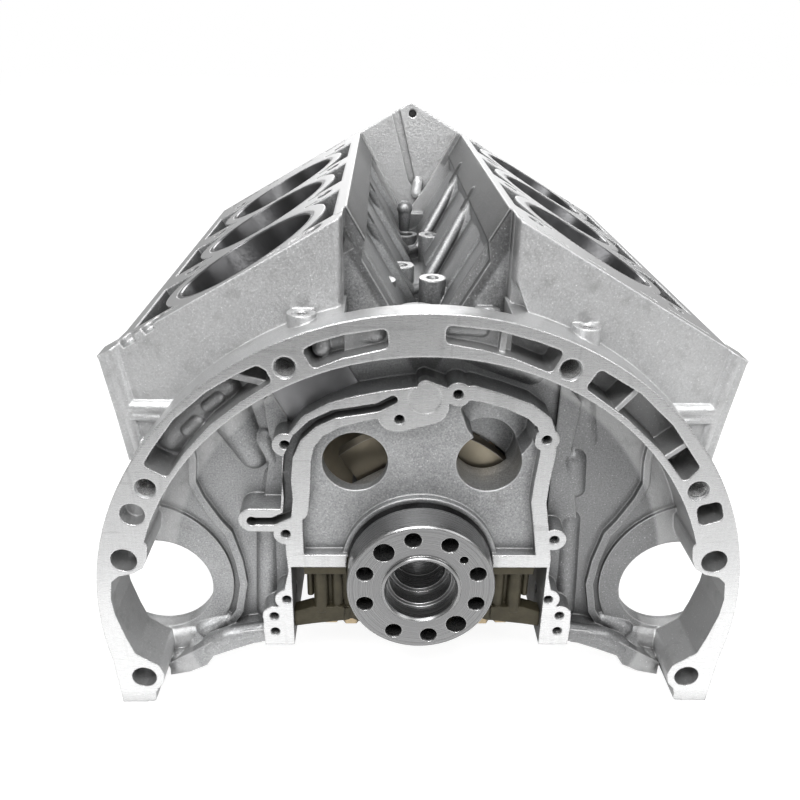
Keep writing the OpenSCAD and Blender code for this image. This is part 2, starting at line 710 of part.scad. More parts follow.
module liner(side, i) color([0.6, 0.6, 0.61]) {
    bank(side) translate([0, bore_y(side, i), deck_h - liner_len]) difference() {
        cylinder(r = liner_r, h = liner_len);
        translate([0, 0, -1]) cylinder(r = bore_r, h = liner_len + 2);
        translate([0, 0, liner_len - 0.8]) cylinder(r1 = bore_r, r2 = bore_r + 0.9, h = 0.9);
    }
}

// Flange, journals and nose of the crankshaft, turned in one piece
module shaft() {
    f = crank_flange_y;
    n = block_len + nose_len;
    rotate([-90, 0, 0]) rotate_extrude() polygon([[0, f - 2.4], [collar_r - 0.8, f - 2.4],
        [collar_r, f - 1.6],
        [collar_r, f], [flange_r - 1, f], [flange_r, f + 1], [flange_r, f + flange_t - 1],
            [flange_r - 1, f + flange_t],
        [38, f + flange_t], [38, collar_y], [journal_r, collar_y], [journal_r, main_y[3] + 14],
            [nose_r + 4, main_y[3] + 14],
        [nose_r + 4, block_len - 2], [nose_r, block_len - 2], [nose_r, n - 1.5], [nose_r - 1.5, n],
            [0, n]]);
}

// One crank web between y0 and y1: pin at angle a, counterweight opposite
module crank_web(y0, y1, a) {
    rotate([0, -a, 0]) along_y(y0, y1) {
        translate([crank_throw, 0]) circle(r = pin_r + 6);
        polygon([[0, -38], [10, -39], [crank_throw + 4, -30], [crank_throw + 4, 30], [10, 39], [0, 38]]);
        intersection() {
            circle(r = weight_r);
            polygon([[4, 38], [-14, 60], [-26, 90], [-100, 90], [-100, -90], [-26, -90], [-14, -60],
                [4, -38]]);
        }
    }
}

module crankshaft() color([0.62, 0.62, 0.63]) {
    web_t = 11;
    link_t = 14.3;
    pin_w = 20;
    difference() {
        union() {
            shaft();
            for (i = [0:2]) {
                c = bay_y[i];
                a = crank_phase + 120 * i;
                b = a + 60;
                crank_web(c - link_t / 2 - pin_w - web_t, c - link_t / 2 - pin_w, a);
                crank_web(c + link_t / 2 + pin_w, c + link_t / 2 + pin_w + web_t, b);
                // the link between the two pins of a pair
                for (t = [a, b]) rotate([0, -t, 0]) along_y(c - link_t / 2 + 0.6, c + link_t / 2 - 0.6) {
                    translate([crank_throw, 0]) circle(r = pin_r + 4);
                }
                rotate([0, -a - 30, 0]) along_y(c - link_t / 2, c + link_t / 2) {
                    polygon([[-30, -18], [0, -38], [40, -48], [66, -22], [66, 22], [40, 48], [0, 38],
                        [-30, 18]]);
                }
                rotate([0, -a, 0]) bar_y(crank_throw, 0, pin_r, c - link_t / 2 - pin_w - 2, c);
                rotate([0, -b, 0]) bar_y(crank_throw, 0, pin_r, c, c + link_t / 2 + pin_w + 2);
            }
        }
        bar_y(0, 0, pilot_r, -10, 8);
        bar_y(0, 0, pilot_r - 2.3, 6, 20);
        bar_y(0, 0, pilot_r - 5, 18, 34);
        bar_y(0, 0, 6, 30, 41);
        bar_y(0, 0, pilot_r + 1.6, crank_flange_y - 3, crank_flange_y - 0.6, pilot_r);
        for (a = flange_holes) rotate([0, -a, 0]) {
            bar_y(flange_hole_ring_r, 0, flange_hole_r, -10, 30);
            bar_y(flange_hole_ring_r, 0, flange_hole_r + 1, crank_flange_y - 1, crank_flange_y + 1,
                flange_hole_r);
        }
        for (a = [130.5, 310]) rotate([0, -a, 0]) bar_y(36.4, 0, 6.7, -10, 30);
        bar_y(26.1, 22.3, 2.8, -10, 9);
        // oil holes in the journals, the key slot and the thread in the nose
        for (i = [0:3]) translate([0, main_y[i], 0]) cylinder(r = 2.5, h = 40);
        translate([-2.5, block_len + nose_len - 34, nose_r - 4]) cube([5, 35, 6]);
        bar_y(0, 0, 8, block_len + nose_len - 40, block_len + nose_len + 1);
    }
}

// Main bearing cap from y0 to y1: a web with upright columns for the bolts, a milled top bar and two side arms
module main_cap(y, y0, y1) color([0.36, 0.33, 0.27]) {
    web = [[-68, 0], [-66, -20], [-60, -44], [-40, -55], [40, -55], [60, -44], [66, -20], [68, 0]];
    ya = y0 + 11;
    // arms to the skirts: round the side bolts, or a front rib on the rear cap, which has none
    arm_y = y > main_y[0] ? [y - 7, y + 7] : [y0 + 4, y0 + 14];
    arm_z = y > main_y[0] ? -30 : -38;
    arm = [[50, arm_z + 1], [72, arm_z + 1], [cap_half_w, arm_z - 3], [cap_half_w, arm_z - 15],
        [72, arm_z - 13],
        [50, arm_z - 10]];
    difference() {
        union() {
            along_y(ya, y1 - 3) polygon(rounded(web, 3, 3));
            along_y(y0, y1) polygon([[-76, 0], [-75.4, -6.4], [75.4, -6.4], [76, 0]]);
            both_sides() {
                along_y(arm_y[0], arm_y[1]) polygon(arm);
                translate([65.4, ya - 3, -41]) cylinder(r = 5, h = 38);
                translate([54.6, ya - 2.4, -45]) cylinder(r = 3.7, h = 42);
                translate([72.8, ya - 1, -30]) cylinder(r = 2.2, h = 27);
                translate([60, ya + 6, -44]) cylinder(r = 7.4, h = 42);
                for (x = [46, 60]) translate([x, y, -54]) cylinder(r = 8.4, h = 50);
                translate([46, y, -57]) cylinder(r = 8.3, h = 30);
                translate([50, ya + 3, -52]) cylinder(r = 5.4, h = 10);
            }
        }
        bar_y(0, 0, seat_r, y0 - 1, y1 + 1);
        if (y0 < main_y[0] - main_wall / 2 - 5) bar_y(0, 0, flange_r + 1.1, y0 - 1, collar_y + 0.4);
        for (x = [-60, -46, 46, 60]) translate([x, y, -70]) cylinder(r = cap_bolt_r + 0.3, h = 71);
        if (y > main_y[0]) both_sides() {
            translate([cap_half_w - 20, y, -36]) rotate([0, 90, 0]) cylinder(r = 4.2, h = 30);
        }
        // room for the bolt heads
        for (x = [-60, 60]) translate([x, y, -70]) cylinder(r = 9, h = 16);
    }
}

module cap(i) {
    y0 = i == 0 ? gasket_y + 1 : main_y[i] - main_wall / 2;
    main_cap(main_y[i], y0, main_y[i] + main_wall / 2);
}

// Four upright bolts of one cap
module cap_bolts(i) color([0.72, 0.62, 0.46]) {
    for (x = [-60, 60]) translate([x, main_y[i], -54]) {
        translate([0, 0, -8]) cylinder(r = hex_af / sqrt(3), h = 8, $fn = 6);
        cylinder(r = cap_bolt_r, h = 88);
    }
    for (x = [-46, 46]) translate([x, main_y[i], -57]) {
        translate([0, 0, -6]) cylinder(r = hex_af / sqrt(3), h = 6, $fn = 6);
        cylinder(r = cap_bolt_r, h = 92);
    }
}

// Two side bolts of one cap, through the skirts
module side_bolts(i) color([0.7, 0.7, 0.7]) {
    both_sides() translate([cap_half_w - 14, main_y[i], -36]) rotate([0, 90, 0]) {
        cylinder(r = 4, h = 14 + rail_half_w - cap_half_w);
        translate([0, 0, 14 + rail_half_w - cap_half_w]) cylinder(r = 7, h = 6, $fn = 6);
    }
}

module shell_ring(y) {
    difference() {
        bar_y(0, 0, seat_r, y - 10, y + 10);
        bar_y(0, 0, shell_in_r, y - 11, y + 11);
        children();
    }
}

module shell_upper(i) color([0.75, 0.75, 0.74]) {
    shell_ring(main_y[i]) {
        translate([-50, main_y[i] - 12, -50]) cube([100, 24, 50]);
        translate([0, main_y[i], 20]) cylinder(r = 3, h = 30);
    }
}

module shell_lower(i) color([0.75, 0.75, 0.74]) {
    shell_ring(main_y[i]) translate([-50, main_y[i] - 12, 0]) cube([100, 24, 50]);
}

module core_plug(side, i) color([0.55, 0.56, 0.58]) {
    bank(side) translate([deck_out - 9, bore_y(side, i), deck_h - 62]) rotate([0, 90, 0]) difference() {
        cylinder(r = plug_r, h = 8);
        translate([0, 0, 2]) cylinder(r = plug_r - 1.6, h = 8);
    }
}

module liner_left_1() liner(-1, 0);
module liner_left_2() liner(-1, 1);
module liner_left_3() liner(-1, 2);
module liner_right_1() liner(1, 0);
module liner_right_2() liner(1, 1);
module liner_right_3() liner(1, 2);
module main_cap_1() cap(0);
module main_cap_2() cap(1);
module main_cap_3() cap(2);
module main_cap_4() cap(3);
module cap_bolts_1() cap_bolts(0);
module cap_bolts_2() cap_bolts(1);
module cap_bolts_3() cap_bolts(2);
module cap_bolts_4() cap_bolts(3);
module side_bolts_1() side_bolts(1);
module side_bolts_2() side_bolts(2);
module side_bolts_3() side_bolts(3);
module shell_upper_1() shell_upper(0);
module shell_upper_2() shell_upper(1);
module shell_upper_3() shell_upper(2);
module shell_upper_4() shell_upper(3);
module shell_lower_1() shell_lower(0);
module shell_lower_2() shell_lower(1);
module shell_lower_3() shell_lower(2);
module shell_lower_4() shell_lower(3);
module core_plug_left_1() core_plug(-1, 0);
module core_plug_left_2() core_plug(-1, 2);
module core_plug_right_1() core_plug(1, 0);
module core_plug_right_2() core_plug(1, 2);

cylinder_block();
crankshaft();
liner_left_1();
liner_left_2();
liner_left_3();
liner_right_1();
liner_right_2();
liner_right_3();
main_cap_1();
main_cap_2();
main_cap_3();
main_cap_4();
cap_bolts_1();
cap_bolts_2();
cap_bolts_3();
cap_bolts_4();
side_bolts_1();
side_bolts_2();
side_bolts_3();
shell_upper_1();
shell_upper_2();
shell_upper_3();
shell_upper_4();
shell_lower_1();
shell_lower_2();
shell_lower_3();
shell_lower_4();
core_plug_left_1();
core_plug_left_2();
core_plug_right_1();
core_plug_right_2();
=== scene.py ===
import math
import bpy
import numpy as np
from mathutils import Matrix, Vector


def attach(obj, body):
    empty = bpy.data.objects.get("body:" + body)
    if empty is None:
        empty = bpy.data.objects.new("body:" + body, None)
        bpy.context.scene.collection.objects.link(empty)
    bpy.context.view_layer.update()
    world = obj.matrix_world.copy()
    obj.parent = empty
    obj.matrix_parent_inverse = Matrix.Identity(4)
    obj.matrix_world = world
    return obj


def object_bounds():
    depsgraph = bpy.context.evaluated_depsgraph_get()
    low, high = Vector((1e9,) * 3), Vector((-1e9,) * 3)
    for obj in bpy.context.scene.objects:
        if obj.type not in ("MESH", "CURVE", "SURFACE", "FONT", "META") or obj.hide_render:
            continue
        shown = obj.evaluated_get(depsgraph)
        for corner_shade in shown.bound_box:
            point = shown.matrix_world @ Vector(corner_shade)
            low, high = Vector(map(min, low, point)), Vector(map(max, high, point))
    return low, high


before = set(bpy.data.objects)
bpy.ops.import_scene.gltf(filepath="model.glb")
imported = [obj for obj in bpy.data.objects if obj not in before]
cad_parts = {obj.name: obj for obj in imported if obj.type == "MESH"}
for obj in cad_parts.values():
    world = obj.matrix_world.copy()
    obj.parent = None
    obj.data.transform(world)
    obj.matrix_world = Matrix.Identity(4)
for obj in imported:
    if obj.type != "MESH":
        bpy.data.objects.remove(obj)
cad_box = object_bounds()

# the block's own sizes in metres, as its solids have them
BANK = math.radians(30)
DECK = 0.2214
GASKET_Y = 0.020
GASKET_LIP = 0.0004
FRONT_Y = 0.386
FIRST_BORE_Y = 0.0814
BORE_PITCH = 0.106
BANK_OFFSET = 0.0343
RAIL_Z = -0.065
RING_Z = -0.0225
MILLED_TOPS = (0.175, 0.168, 0.170, 0.165)
FLOOR_Z = cad_box[0][2]

# where the regions of the casting begin and end, each as a pair of places between which it fades
BELL_RADIUS = (0.2036, 0.2044)
BELL_BACK = (0.046, 0.049)
LOOP_SIDE = (0.080, 0.086)
LOOP_TOP = (0.120, 0.132)
LOOP_BACK = (0.030, 0.034)
VALLEY_SIDE = (-0.062, -0.059)
VALLEY_REAR = (0.0275, 0.0285)
VALLEY_FRONT = (0.352, 0.368)
RAIL_SIDE = (-0.0726, -0.0722)
RAIL_FOOT = (DECK - 0.034, DECK - 0.030)
RAIL_REAR = (0.028, 0.032)
RAIL_FRONT = (0.362, 0.370)
PANEL_REAR = (0.358, 0.366)
PANEL_SIDE = (-0.068, -0.064)
JACKET_INNER = (0.028, 0.032)
JACKET_OUTER = (0.0716, 0.0720)
JACKET_FOOT = (0.10, 0.13)
JACKET_TOP = (DECK - 0.0012, DECK - 0.0006)
JACKET_FROM_BORE = (0.0374, 0.0378)
JACKET_END = (0.040, 0.045)
POCKET_RADIUS = (0.162, 0.166)
POCKET_MOUTH = (0.0006, 0.0012)
POCKET_BACK = (0.044, 0.048)

# tones of the finishes: the darkest and lightest of each, or its only one
PALE_SKIN = (0.28, 0.284, 0.288, 1), (0.68, 0.685, 0.69, 1)
# painted shade: the darker skin laid over the bell and the valley
PAINTED_SHADE_SKIN = (0.15, 0.152, 0.155, 1), (0.40, 0.403, 0.406, 1)
MILLED_METAL = (0.58, 0.582, 0.585, 1), (0.68, 0.68, 0.682, 1)
DECK_METAL = (0.50, 0.50, 0.502, 1)
STAIN = (0.22, 0.22, 0.215, 1)
TURNED_STEEL = (0.19, 0.19, 0.193, 1), (0.31, 0.31, 0.31, 1)
FORGED_SKIN = (0.30, 0.26, 0.19, 1), (0.45, 0.40, 0.31, 1)
# painted highlight on the steel's edges
EDGE_HIGHLIGHT_TONE = (0.85, 0.85, 0.84, 1)
HONED_IRON = (0.15, 0.15, 0.155, 1), (0.30, 0.30, 0.305, 1)
OILY_IRON = (0.020, 0.018, 0.010, 1), (0.085, 0.073, 0.045, 1)
CAP_SEAT = (0.52, 0.42, 0.28, 1)
TAN_OIL = (0.34, 0.25, 0.14, 1), (0.66, 0.54, 0.37, 1)
SHELL_METAL = (0.5, 0.5, 0.49, 1), (0.68, 0.68, 0.66, 1)
PLUG_METAL = (0.35, 0.35, 0.35, 1), (0.55, 0.55, 0.54, 1)

# holes seen from the bell end, by the middle of each mouth
BELL_BOLTS = ((-0.0796, 0.1497), (0.0796, 0.1497), (-0.1651, 0.0715), (0.1651, 0.0715))
COVER_SCREWS = ((0.0196, 0.1248), (0.075, 0.0947), (0.0867, 0.0216), (0.0872, -0.0265), (0.0962, -0.0401),
                (0.096, -0.0533), (-0.0843, 0.0903), (-0.0863, 0.0257), (-0.0878, -0.0266),
                (-0.0968, -0.0406), (-0.0967, -0.0537), (-0.015, 0.108))
BOSS_HOLES = ((-0.0713, 0.021, 0.175), (0.092, 0.023, 0.168), (0.0362, 0.0428, 0.170),
              (0.0076, 0.1073, 0.170), (-0.0259, 0.1019, 0.170), (-0.0118, 0.155, 0.165),
              (0.0135, 0.246, 0.165))


def grey(level):
    """A neutral colour of one level."""
    return (level, level, level, 1)


def aim_camera():
    """Camera at the photograph's place, turned by yaw, pitch and roll from a level look along +Y."""
    yaw, pitch, roll = (math.radians(angle) for angle in (1.59, -25.24, 1.08))
    place = (-0.02696, -0.41541, 0.32644)
    ahead = Vector((math.sin(yaw) * math.cos(pitch), math.cos(yaw) * math.cos(pitch), math.sin(pitch)))
    right = Vector((math.cos(yaw), -math.sin(yaw), 0))
    up = right.cross(ahead)
    tilted_right = math.cos(roll) * right + math.sin(roll) * up
    tilted_up = math.cos(roll) * up - math.sin(roll) * right
    lens = bpy.data.cameras.new("camera")
    lens.sensor_width = 36
    lens.lens = 36.64
    lens.clip_start = 0.01
    camera = bpy.data.objects.new("camera", lens)
    turn = Matrix((tilted_right, tilted_up, -ahead)).transposed().to_4x4()
    camera.matrix_world = Matrix.Translation(place) @ turn
    bpy.context.scene.collection.objects.link(camera)
    bpy.context.scene.camera = camera


class Finish:
    """A procedural material, built node by node, that reads Object coordinates."""

    def __init__(self, name):
        self.material = bpy.data.materials.new(name)
        self.material.use_nodes = True
        self.tree = self.material.node_tree
        self.shader = self.tree.nodes["Principled BSDF"]
        place = self.add("TexCoord")
        self.point = place.outputs["Object"]
        self.facing = place.outputs["Normal"]
        self.soft = None

    def add(self, kind, settings=None, **sockets):
        """A node of one kind with its settings; sockets go by name, or by number as _0 and _1."""
        made = self.tree.nodes.new("ShaderNode" + kind)
        for key, value in (settings or {}).items():
            setattr(made, key, value)
        for key, value in sockets.items():
            name = key.replace("_", " ").strip()
            self.feed(made.inputs[int(name) if name.isdigit() else name], value)
        return made

    def feed(self, socket, value):
        """Links a socket to another one, or writes a plain value into it."""
        if isinstance(value, bpy.types.NodeSocket):
            self.tree.links.new(value, socket)
        else:
            socket.default_value = value

    def number(self, operation, *values):
        """One step of arithmetic on numbers or sockets."""
        made = self.add("Math", {"operation": operation})
        for socket, value in zip(made.inputs, values):
            self.feed(socket, value)
        return made.outputs[0]

    def vector(self, operation, first, second):
        """One step of arithmetic on two vectors."""
        return self.add("VectorMath", {"operation": operation}, _0=first, _1=second).outputs[0]

    def product(self, *shares):
        """All the shares multiplied together."""
        whole = shares[0]
        for share in shares[1:]:
            whole = self.number("MULTIPLY", whole, share)
        return whole

    def halves(self, first, second):
        """Mean of two numbers."""
        return self.number("ADD", self.product(first, 0.5), self.product(second, 0.5))

    def mix(self, share, first, second):
        """Colour between first and second."""
        made = self.add("Mix", {"data_type": "RGBA"}, Factor=share, _6=first, _7=second)
        return made.outputs[2]

    def blend(self, share, first, second):
        """Number between first and second."""
        return self.add("Mix", {"data_type": "FLOAT"}, Factor=share, _2=first, _3=second).outputs[0]

    def paint(self, colour, layers):
        """Lays colours over one another, each by its own share."""
        for share, over in layers:
            colour = self.mix(share, colour, over)
        return colour

    def noise(self, scale, detail=2.0, rough=0.5, stretch=None):
        """Cloudy noise from 0 to 1, scale in cells per metre, stretched along the axes if asked."""
        at = self.vector("MULTIPLY", self.point, stretch) if stretch else self.point
        return self.add("TexNoise", Vector=at, Scale=scale, Detail=detail, Roughness=rough).outputs["Fac"]

    def fit(self, value, low, high, to_low=0.0, to_high=1.0, smooth=True):
        """Rescales value from low..high to to_low..to_high, clamped, eased at both ends if smooth."""
        made = self.add("MapRange", {"interpolation_type": "SMOOTHSTEP" if smooth else "LINEAR"})
        places = ("Value", "From Min", "From Max", "To Min", "To Max")
        for place, given in zip(places, (value, low, high, to_low, to_high)):
            self.feed(made.inputs[place], given)
        return made.outputs["Result"]

    def spread(self, cloud, low, high):
        """Stretches a noise, most of which lies from 0.3 to 0.7, to low..high."""
        return self.fit(cloud, 0.3, 0.7, low, high)

    def above(self, value, place):
        """0 below a pair of places, 1 above it."""
        return self.fit(value, *place)

    def below(self, value, place):
        """1 below a pair of places, 0 above it."""
        return self.fit(value, *place, 1, 0)

    def radius_from(self, x, z):
        """Distance from the line along Y through x and z."""
        flat = self.vector("MULTIPLY", self.vector("SUBTRACT", self.point, (x, 0, z)), (1, 0, 1))
        return self.add("VectorMath", {"operation": "LENGTH"}, _0=flat).outputs["Value"]

    def along(self, direction, vector=None):
        """Component of a point or normal along a direction."""
        made = self.add("VectorMath", {"operation": "DOT_PRODUCT"}, _0=vector or self.point, _1=direction)
        return made.outputs["Value"]

    def face(self, direction, height, slack=0.0006):
        """1 on the flat face whose normal is direction and whose distance from the origin is height."""
        near = self.number("COMPARE", self.along(direction), height, slack)
        turned = self.number("GREATER_THAN", self.along(direction, self.facing), 0.995)
        return self.product(near, turned)

    def any_face(self, faces, found=None):
        """1 on any flat face of a list of directions and heights, and where found is 1 already."""
        for direction, height in faces:
            share = self.face(direction, height)
            found = self.number("MAXIMUM", found, share) if found else share
        return found

    def round_edges(self, radius):
        """Softens edges over a radius, and gives 1 where an edge is near."""
        self.soft = self.add("Bevel", {"samples": 6}, Radius=radius).outputs[0]
        flat = self.add("NewGeometry").outputs["Normal"]
        return self.fit(self.along(self.soft, flat), 0.99, 0.86)

    def hollow(self, reach):
        """0 deep in corners and pockets, 1 in the open."""
        open_sky = self.add("AmbientOcclusion", {"samples": 6}, Distance=reach).outputs["AO"]
        return self.fit(open_sky, 0.15, 0.85)

    def relief(self, height, depth, strength=1.0):
        """Feeds the shader a bumped normal over the softened edges."""
        made = self.add("Bump", Height=height, Distance=depth, Strength=strength)
        if self.soft:
            self.feed(made.inputs["Normal"], self.soft)
        self.feed(self.shader.inputs["Normal"], made.outputs[0])

    def shade(self, **values):
        """Writes values or sockets into the shader."""
        for key, value in values.items():
            self.feed(self.shader.inputs[key.replace("_", " ")], value)

    def put_on(self, thing):
        """Makes this the one material of an object."""
        thing.data.materials.clear()
        thing.data.materials.append(self.material)


class Casting(Finish):
    """The block's finish, whose regions are shares from 0 to 1 worked out from the point."""

    def __init__(self, name):
        super().__init__(name)
        self.x, self.y, self.z = (self.along(axis) for axis in ((1, 0, 0), (0, 1, 0), (0, 0, 1)))
        self.wide = self.number("ABSOLUTE", self.x)
        lean, rise = math.sin(BANK), math.cos(BANK)
        # across a bank, below zero on the valley's side of the bores, and up along its bores
        self.across = self.number("SUBTRACT", self.product(self.wide, rise), self.product(self.z, lean))
        self.up = self.number("ADD", self.product(self.wide, lean), self.product(self.z, rise))
        self.from_ring_axis = self.radius_from(0, RING_Z)
        self.bell = self.product(self.below(self.from_ring_axis, BELL_RADIUS), self.below(self.y, BELL_BACK))
        self.valley = self.product(self.below(self.across, VALLEY_SIDE), self.above(self.y, VALLEY_REAR),
                                   self.below(self.y, VALLEY_FRONT))
        self.pocket = self.product(self.above(self.from_ring_axis, POCKET_RADIUS),
                                   self.above(self.y, POCKET_MOUTH), self.below(self.y, POCKET_BACK))

    def seal_loop(self):
        """The wall inside the looped gasket face of the bell."""
        return self.product(self.below(self.wide, LOOP_SIDE), self.below(self.z, LOOP_TOP),
                            self.below(self.y, LOOP_BACK))

    def rail(self):
        """The steep inner side of each bank's rail, over the valley."""
        return self.product(self.below(self.across, RAIL_SIDE), self.above(self.up, RAIL_FOOT),
                            self.above(self.y, RAIL_REAR), self.below(self.y, RAIL_FRONT))

    def front_panel(self):
        """The panel that closes the valley at the front."""
        return self.product(self.above(self.y, PANEL_REAR), self.below(self.across, PANEL_SIDE))

    def jacket(self):
        """The water jackets' walls, between the bores of each bank and round the ends of their row."""
        right_bank = self.number("GREATER_THAN", self.x, 0.0)
        from_first = self.number("SUBTRACT", self.number("SUBTRACT", self.y, FIRST_BORE_Y),
                                 self.product(right_bank, BANK_OFFSET))
        from_bore = self.number("WRAP", from_first, BORE_PITCH / 2, -BORE_PITCH / 2)
        near, far = JACKET_END
        row_end = (2 * BORE_PITCH + near, 2 * BORE_PITCH + far)
        return self.product(self.above(self.across, JACKET_INNER), self.below(self.across, JACKET_OUTER),
                            self.above(self.up, JACKET_FOOT), self.below(self.up, JACKET_TOP),
                            self.below(self.number("ABSOLUTE", from_bore), JACKET_FROM_BORE),
                            self.above(from_first, (-far, -near)), self.below(from_first, row_end))

    def decks(self):
        """The milled decks of both banks."""
        return self.any_face([((side * math.sin(BANK), 0, math.cos(BANK)), DECK) for side in (1, -1)])

    def milled_faces(self, decks):
        """The decks, ring face, gasket face and its lip, sump rail, front face and the tops of the bosses."""
        ends = [((0, -1, 0), 0.0), ((0, -1, 0), -GASKET_Y), ((0, -1, 0), -GASKET_Y - GASKET_LIP),
                ((0, 0, -1), -RAIL_Z), ((0, 1, 0), FRONT_Y)]
        return self.any_face(ends + [((0, 0, 1), top) for top in MILLED_TOPS], decks)


def cast_skin(m, grain):
    """Sandy skin with soft clouds, stains and bright specks painted as glints. It has painted shade in the
    bell and the valley, in the jackets and along the rails, and painted light on the front panel and in the
    ring's pockets."""
    clouds, blots = m.noise(24, 3, 0.6), m.noise(70, 4, 0.65)
    tone = m.number("ADD", m.fit(grain, 0.34, 0.66, 0.0, 0.65, smooth=False),
                    m.fit(clouds, 0.25, 0.75, 0.0, 0.35, smooth=False))
    painted_shade_skin = m.mix(tone, *PAINTED_SHADE_SKIN)
    layers = (
        # painted shade: duller skin in the bell, most of all on its right, and in the valley
        (m.product(m.bell, m.blend(m.seal_loop(), m.fit(m.x, 0.05, 0.12, 0.5, 0.75), 0.42)), painted_shade_skin),
        (m.product(m.valley, 0.6), painted_shade_skin),
        # shade in the valley's rear corners and on the right of the bell
        (m.product(m.valley, m.fit(m.y, 0.055, 0.075, 0.5, 0.0)), grey(0.08)),
        (m.product(m.bell, m.fit(m.x, 0.06, 0.11, 0.0, 0.34)), grey(0.06)),
        # painted light on the front panel and in the ring's pockets, painted shade on rails and jackets
        (m.product(m.front_panel(), 0.65), grey(0.90)),
        (m.product(m.pocket, 0.5), grey(0.62)),
        (m.product(m.number("MAXIMUM", m.rail(), m.jacket()), 0.72), grey(0.06)),
        # stains, and bright specks painted as glints, all over
        (m.product(m.above(blots, (0.52, 0.74)), 0.35), STAIN),
        (m.fit(grain, 0.64, 0.70, 0.0, 0.7), grey(0.90)),
    )
    return m.paint(m.mix(tone, *PALE_SKIN), layers)


def milled_skin(m, lines, arcs, decks):
    """Bright metal with the cutter's lines and arcs and crossing scratches, and a painted reflection, darker
    upwards, lighter below.
    """
    strokes = m.fit(m.halves(lines, arcs), 0.35, 0.65, 0, 1, smooth=False)
    scratches = m.number("MAXIMUM", m.above(m.noise(1, 1, 0.5, (170, 170, 16)), (0.64, 0.70)),
                         m.above(m.noise(1, 1, 0.5, (20, 90, 210)), (0.66, 0.71)))
    layers = (
        (m.product(scratches, 0.3), grey(0.38)),
        # painted reflection, darker towards the top of the ring and lighter at its feet; even on the decks
        (m.fit(m.z, -0.04, 0.12, 0.0, 0.42), grey(0.26)),
        (m.fit(m.z, -0.03, 0.03, 0.5, 0.0), grey(0.82)),
        (decks, DECK_METAL),
    )
    return m.paint(m.mix(strokes, *MILLED_METAL), layers)


def cast_aluminium():
    """Sand-cast aluminium with milled faces, with painted highlights along its edges and painted shade deep
    in its corners.
    """
    m = Casting("cast_aluminium")
    edge_highlight, hollow = m.round_edges(0.0018), m.hollow(0.024)
    grain, lumps = m.noise(950, 3, 0.7), m.noise(330, 3, 0.6)
    lines, arcs = m.noise(1, 2, 0.6, (900, 900, 60)), m.noise(1, 3, 0.6, (70, 70, 2400))
    decks = m.decks()
    faces = m.milled_faces(decks)
    colour = m.mix(faces, cast_skin(m, grain), milled_skin(m, lines, arcs, decks))
    # painted highlight along the edges
    colour = m.mix(m.product(edge_highlight, 0.5), colour, grey(0.84))
    # painted shade deep in corners, weaker in the ring's pockets
    corner_shade = m.fit(hollow, 0.0, 1.0, m.blend(m.pocket, 0.72, 0.2), 0.0)
    colour = m.mix(corner_shade, colour, grey(0.05))
    milled_rough = m.blend(decks, m.spread(arcs, 0.22, 0.34), 0.42)
    rough = m.blend(faces, m.spread(grain, 0.33, 0.52), milled_rough)
    m.shade(Base_Color=colour, Metallic=0.82, Roughness=rough)
    m.relief(m.blend(faces, m.halves(grain, lumps), m.product(lines, 0.04)), 0.0007, 0.8)
    return m


def ground_steel():
    """Turned flange and ground journals, ringed round the crank axis, with forged webs between them."""
    m = Finish("ground_steel")
    along, radius = m.along((0, 1, 0)), m.radius_from(0, 0)
    ring_point = m.add("CombineXYZ", X=radius, Y=along).outputs[0]
    rings = m.add("TexNoise", Vector=ring_point, Scale=1600.0, Detail=2.0).outputs["Fac"]
    edge_highlight = m.round_edges(0.0009)
    forged = m.product(m.number("GREATER_THAN", along, 0.05), m.number("GREATER_THAN", radius, 0.0475))
    turned = m.mix(m.fit(rings, 0.3, 0.7, 0, 1, smooth=False), *TURNED_STEEL)
    web = m.mix(m.noise(60, 3, 0.6), *FORGED_SKIN)
    # painted highlight along the steel's edges
    colour = m.mix(m.product(edge_highlight, 0.6), m.mix(forged, turned, web), EDGE_HIGHLIGHT_TONE)
    # painted shade in the hollows
    colour = m.mix(m.fit(m.hollow(0.012), 0, 1, 0.35, 0), colour, grey(0.04))
    rough = m.blend(forged, m.spread(rings, 0.22, 0.36), 0.42)
    m.shade(Base_Color=colour, Metallic=0.95, Roughness=rough)
    m.relief(rings, 0.00005, 0.5)
    return m


def honed_bore(name, side):
    """Grey iron whose honing lines draw the light out along the bore; side is -1 for the left bank."""
    m = Finish(name)
    fine = m.noise(1, 2, 0.5, (400, 400, 900))
    bore_axis = m.add("CombineXYZ", X=side * math.sin(BANK), Y=0.0, Z=math.cos(BANK)).outputs[0]
    m.shade(Base_Color=m.mix(m.noise(30, 3, 0.6), *HONED_IRON), Metallic=1.0,
            Roughness=m.spread(fine, 0.28, 0.36), Anisotropic=0.85, Tangent=bore_axis)
    m.relief(fine, 0.00002, 0.15)
    return m


def oily_iron():
    """Olive brown cast iron of the main caps, with tan seats level with the crank axis."""
    m = Finish("oily_iron")
    grain, patches = m.noise(900, 3, 0.6), m.noise(90, 4, 0.6)
    seat = m.face((0, 0, 1), 0.0, 0.0008)
    m.shade(Base_Color=m.mix(seat, m.mix(patches, *OILY_IRON), CAP_SEAT), Metallic=0.5,
            Roughness=m.spread(grain, 0.35, 0.55))
    m.round_edges(0.0012)
    m.relief(grain, 0.0003, 0.6)
    return m


def oiled_bolt():
    """Tan, oil-tinted bolt heads."""
    m = Finish("oiled_bolt")
    grain = m.noise(700, 3, 0.6)
    m.shade(Base_Color=m.mix(grain, *TAN_OIL), Metallic=0.7, Roughness=m.spread(grain, 0.32, 0.5))
    m.round_edges(0.0005)
    m.relief(grain, 0.0001, 0.5)
    return m


def plain_steel(name, tones, rough):
    """Smooth pressed or bearing steel with faint mottling."""
    m = Finish(name)
    cloud = m.noise(160, 3, 0.6)
    m.shade(Base_Color=m.mix(cloud, *tones), Metallic=0.9,
            Roughness=m.spread(cloud, rough, rough + 0.12))
    m.round_edges(0.0006)
    m.relief(cloud, 0.0001, 0.4)
    return m


